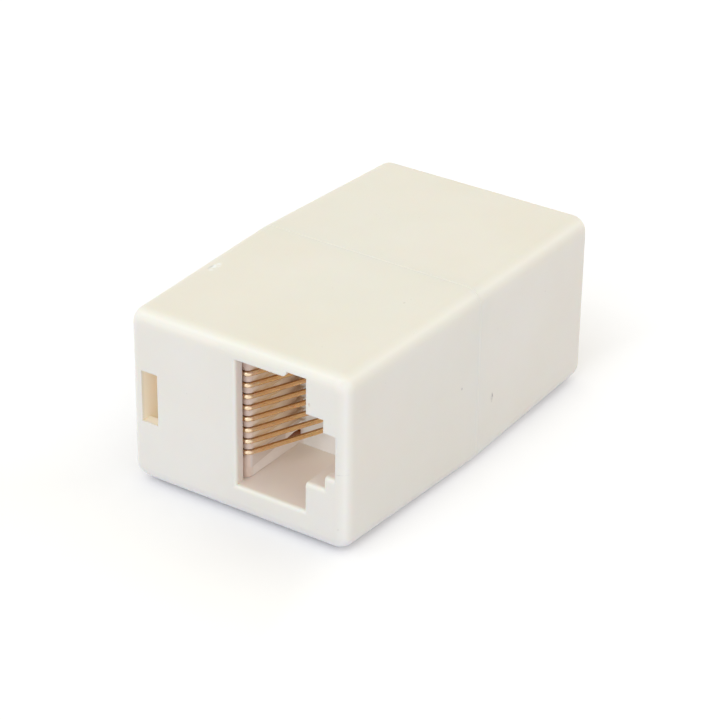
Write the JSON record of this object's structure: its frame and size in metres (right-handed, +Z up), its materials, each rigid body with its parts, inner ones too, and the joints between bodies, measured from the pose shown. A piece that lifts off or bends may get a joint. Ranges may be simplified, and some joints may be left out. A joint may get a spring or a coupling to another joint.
{
  "type": "rj45 inline coupler",
  "caption": "Rectangular moulded coupler that joins two network cords end to end, with a modular port in each end and a small catch window beside it.",
  "frame": {"origin": "centre of the bounding box's base, under the seam where the two halves meet", "axes": "+X across, towards the side that the front port is on; +Y along the length from the front port's face to the rear port's face; +Z up"},
  "size_m": [0.0222, 0.0366, 0.0162],
  "materials": {
    "shell": "ivory moulded plastic, fine satin",
    "carrier": "off-white moulded plastic, satin",
    "contact": "gold-plated drawn wire, bright"
  },
  "bodies": {
    "root": {"front_shell": "shell", "rear_shell": "shell", "front_contact_carrier": "carrier", "rear_contact_carrier": "carrier", "contact_wire_1": "contact", "contact_wire_2": "contact", "contact_wire_3": "contact", "contact_wire_4": "contact", "contact_wire_5": "contact", "contact_wire_6": "contact", "contact_wire_7": "contact", "contact_wire_8": "contact"}
  },
  "joints": []
}
